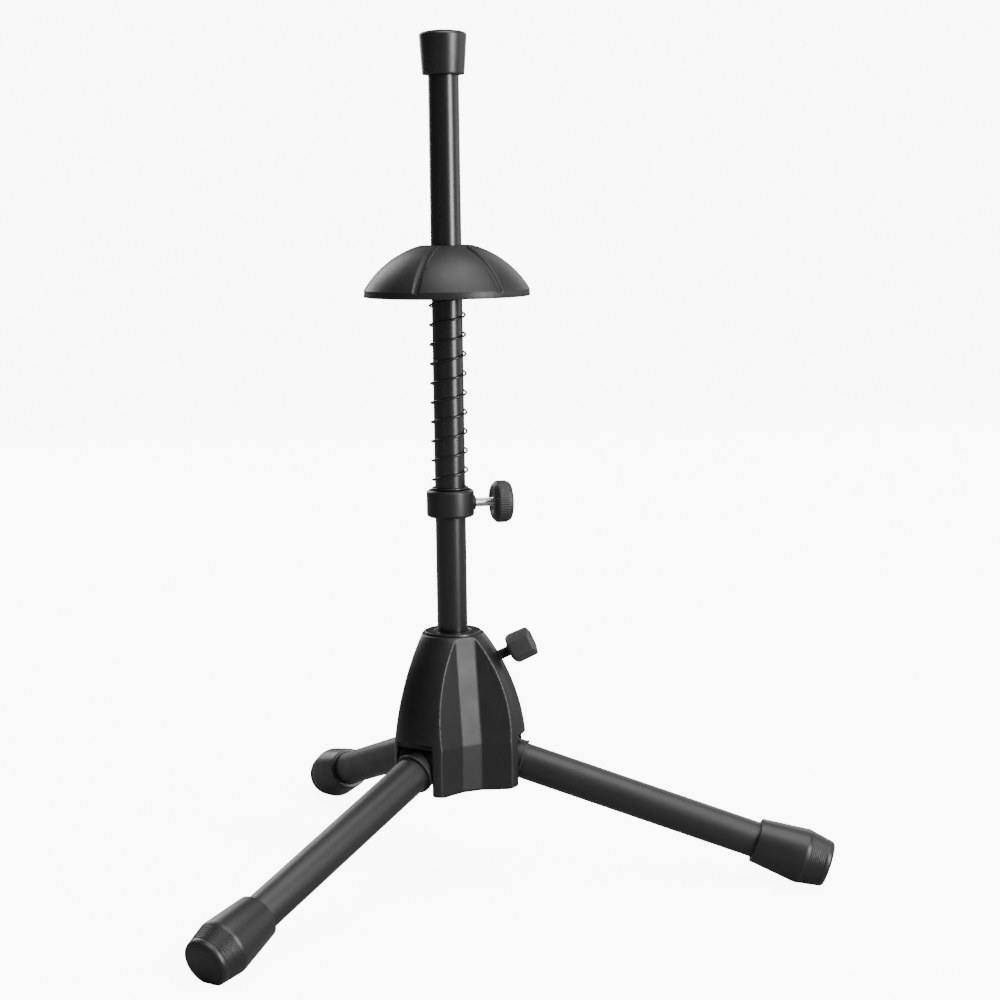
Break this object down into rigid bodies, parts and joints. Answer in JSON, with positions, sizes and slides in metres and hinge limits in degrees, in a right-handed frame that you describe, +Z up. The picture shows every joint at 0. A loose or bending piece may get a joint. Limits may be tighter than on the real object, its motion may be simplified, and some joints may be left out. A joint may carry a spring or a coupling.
{
  "type": "trumpet stand",
  "caption": "Folding tripod stand that holds a trumpet bell-down on an upright shaft, with a sprung umbrella-shaped bell dome, a clamping collar and rubber feet",
  "frame": {"origin": "on the floor at the middle of the footprint's bounding box; the shaft's axis stands 45.2 mm in front of it (towards -Y)", "axes": "+Z is up along the shaft, one leg points straight back along +Y, and the other two point forward to the right and left"},
  "size_m": [0.356, 0.3108, 0.4474],
  "materials": {
    "hub_housing": "moulded, satin with soft sheen",
    "hub_bush": "moulded, slightly polished where the shaft slides",
    "hub_screw_insert": "turned",
    "leg_pin": "ground",
    "leg_socket": "moulded, satin",
    "leg_tube": "black powder coat, satin",
    "leg_boot": "moulded rubber, matt, fine ribs",
    "shaft_tube": "black satin enamel",
    "shaft_plug": "moulded",
    "tip_cap": "moulded rubber, matt",
    "collar_ring": "satin",
    "collar_screw_insert": "blackened",
    "bell_spring": "blackened spring wire",
    "bell_dome": "moulded, smooth satin",
    "hub_screw": "black oxide thread",
    "hub_knob": "moulded, matt grey-black",
    "collar_screw": "bright plated thread",
    "collar_knob": "moulded, knurled"
  },
  "bodies": {
    "hub": {"hub_housing": "hub_housing", "hub_bush": "hub_bush", "hub_screw_insert": "hub_screw_insert", "leg_pin_right": "leg_pin", "leg_pin_left": "leg_pin", "leg_pin_back": "leg_pin"},
    "right_leg": {"leg_socket_right": "leg_socket", "leg_tube_right": "leg_tube", "leg_boot_right": "leg_boot"},
    "left_leg": {"leg_socket_left": "leg_socket", "leg_tube_left": "leg_tube", "leg_boot_left": "leg_boot"},
    "back_leg": {"leg_socket_back": "leg_socket", "leg_tube_back": "leg_tube", "leg_boot_back": "leg_boot"},
    "shaft": {"shaft_tube": "shaft_tube", "shaft_plug": "shaft_plug", "tip_cap": "tip_cap"},
    "collar": {"collar_ring": "collar_ring", "collar_screw_insert": "collar_screw_insert", "bell_spring": "bell_spring"},
    "dome": {"bell_dome": "bell_dome"},
    "hub_thumb_screw": {"hub_screw": "hub_screw", "hub_knob": "hub_knob"},
    "collar_thumb_screw": {"collar_screw": "collar_screw", "collar_knob": "collar_knob"}
  },
  "joints": [
    {"name": "right_leg_fold", "type": "hinge", "parent": "hub", "child": "right_leg", "pos_m": [0.02079, -0.0572, 0.0692], "axis": [0.5, 0.866, 0], "range_deg": [0, 71.2]},
    {"name": "left_leg_fold", "type": "hinge", "parent": "hub", "child": "left_leg", "pos_m": [-0.02079, -0.0572, 0.0692], "axis": [0.5, -0.866, 0], "range_deg": [0, 71.2]},
    {"name": "back_leg_fold", "type": "hinge", "parent": "hub", "child": "back_leg", "pos_m": [0, -0.0212, 0.0692], "axis": [-1, 0, 0], "range_deg": [0, 71.2]},
    {"name": "shaft_slide", "type": "slide", "parent": "hub", "child": "shaft", "axis": [0, 0, 1], "range_m": [-0.03, 0.04]},
    {"name": "collar_slide", "type": "slide", "parent": "shaft", "child": "collar", "axis": [0, 0, 1], "range_m": [-0.02, 0.08]},
    {"name": "dome_slide", "type": "slide", "parent": "collar", "child": "dome", "axis": [0, 0, 1], "range_m": [-0.07, 0], "stiffness_N_per_m": 130, "springref_m": 0.004, "deforming": ["bell_spring"]},
    {"name": "hub_screw_turn", "type": "hinge", "parent": "hub", "child": "hub_thumb_screw", "pos_m": [0.00693, -0.0492, 0.1142], "axis": [0.7849, -0.4532, 0.4226], "range_deg": [0, 720]},
    {"name": "collar_screw_turn", "type": "hinge", "parent": "collar", "child": "collar_thumb_screw", "pos_m": [0.01174, -0.04769, 0.203], "axis": [0.9781, -0.2079, 0], "range_deg": [0, 720]}
  ]
}
